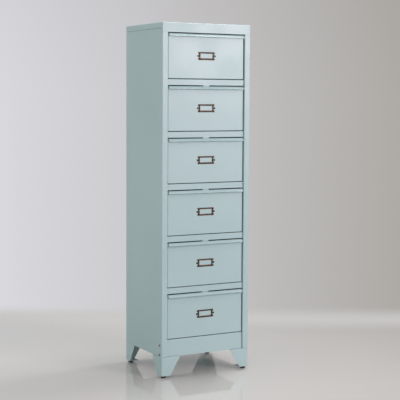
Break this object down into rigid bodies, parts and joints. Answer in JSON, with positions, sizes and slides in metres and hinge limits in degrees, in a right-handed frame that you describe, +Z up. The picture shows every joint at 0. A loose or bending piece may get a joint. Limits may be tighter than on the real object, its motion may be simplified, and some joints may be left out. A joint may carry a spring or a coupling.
{
  "type": "metal drawer cabinet",
  "caption": "Tall narrow sheet-steel drawer cabinet on tapered angle feet, with equal drawers opened by a folded lip and a framed label holder on each front.",
  "frame": {"origin": "on the floor, under the middle of the overall footprint", "axes": "+Z up, +X to the right seen from the front, the drawers open towards -Y"},
  "size_m": [0.3532, 0.303, 1.2391],
  "materials": {
    "mint_paint": "satin powder coat with fine orange peel",
    "aged_brass": "antique darkened brass, worn on the edges",
    "leveller_black": "moulded black pad on a steel stud",
    "zinc_steel": "bright zinc plate",
    "dark_screws": "darkened steel, slightly dull"
  },
  "bodies": {
    "cabinet": {"left_side_panel": "mint_paint", "right_side_panel": "mint_paint", "top_cap": "mint_paint", "back_panel": "mint_paint", "bottom_panel": "mint_paint", "plinth_panel": "mint_paint", "rail_1": "mint_paint", "rail_2": "mint_paint", "rail_3": "mint_paint", "rail_4": "mint_paint", "rail_5": "mint_paint", "runner_left_1": "mint_paint", "runner_right_1": "mint_paint", "runner_left_2": "mint_paint", "runner_right_2": "mint_paint", "runner_left_3": "mint_paint", "runner_right_3": "mint_paint", "runner_left_4": "mint_paint", "runner_right_4": "mint_paint", "runner_left_5": "mint_paint", "runner_right_5": "mint_paint", "runner_left_6": "mint_paint", "runner_right_6": "mint_paint", "foot_front_left": "mint_paint", "foot_front_right": "mint_paint", "foot_back_left": "mint_paint", "foot_back_right": "mint_paint", "foot_nuts": "zinc_steel", "foot_screws": "dark_screws", "back_screws": "dark_screws"},
    "drawer_1": {"drawer_front_1": "mint_paint", "drawer_tray_1": "mint_paint", "label_holder_1": "aged_brass", "label_pins_1": "aged_brass"},
    "drawer_2": {"drawer_front_2": "mint_paint", "drawer_tray_2": "mint_paint", "label_holder_2": "aged_brass", "label_pins_2": "aged_brass"},
    "drawer_3": {"drawer_front_3": "mint_paint", "drawer_tray_3": "mint_paint", "label_holder_3": "aged_brass", "label_pins_3": "aged_brass"},
    "drawer_4": {"drawer_front_4": "mint_paint", "drawer_tray_4": "mint_paint", "label_holder_4": "aged_brass", "label_pins_4": "aged_brass"},
    "drawer_5": {"drawer_front_5": "mint_paint", "drawer_tray_5": "mint_paint", "label_holder_5": "aged_brass", "label_pins_5": "aged_brass"},
    "drawer_6": {"drawer_front_6": "mint_paint", "drawer_tray_6": "mint_paint", "label_holder_6": "aged_brass", "label_pins_6": "aged_brass"},
    "leveller_front_left": {"leveller_front_left": "leveller_black"},
    "leveller_front_right": {"leveller_front_right": "leveller_black"},
    "leveller_back_left": {"leveller_back_left": "leveller_black"},
    "leveller_back_right": {"leveller_back_right": "leveller_black"}
  },
  "joints": [
    {"name": "drawer_1_slide", "type": "slide", "parent": "cabinet", "child": "drawer_1", "axis": [0, -1, 0], "range_m": [0, 0.23]},
    {"name": "drawer_2_slide", "type": "slide", "parent": "cabinet", "child": "drawer_2", "axis": [0, -1, 0], "range_m": [0, 0.23]},
    {"name": "drawer_3_slide", "type": "slide", "parent": "cabinet", "child": "drawer_3", "axis": [0, -1, 0], "range_m": [0, 0.23]},
    {"name": "drawer_4_slide", "type": "slide", "parent": "cabinet", "child": "drawer_4", "axis": [0, -1, 0], "range_m": [0, 0.23]},
    {"name": "drawer_5_slide", "type": "slide", "parent": "cabinet", "child": "drawer_5", "axis": [0, -1, 0], "range_m": [0, 0.23]},
    {"name": "drawer_6_slide", "type": "slide", "parent": "cabinet", "child": "drawer_6", "axis": [0, -1, 0], "range_m": [0, 0.23]},
    {"name": "leveller_front_left_turn", "type": "hinge", "parent": "cabinet", "child": "leveller_front_left", "pos_m": [-0.162, -0.13305, 0], "axis": [0, 0, 1], "continuous": true},
    {"name": "leveller_front_right_turn", "type": "hinge", "parent": "cabinet", "child": "leveller_front_right", "pos_m": [0.162, -0.13305, 0], "axis": [0, 0, 1], "continuous": true},
    {"name": "leveller_back_left_turn", "type": "hinge", "parent": "cabinet", "child": "leveller_back_left", "pos_m": [-0.162, 0.13615, 0], "axis": [0, 0, 1], "continuous": true},
    {"name": "leveller_back_right_turn", "type": "hinge", "parent": "cabinet", "child": "leveller_back_right", "pos_m": [0.162, 0.13615, 0], "axis": [0, 0, 1], "continuous": true}
  ]
}
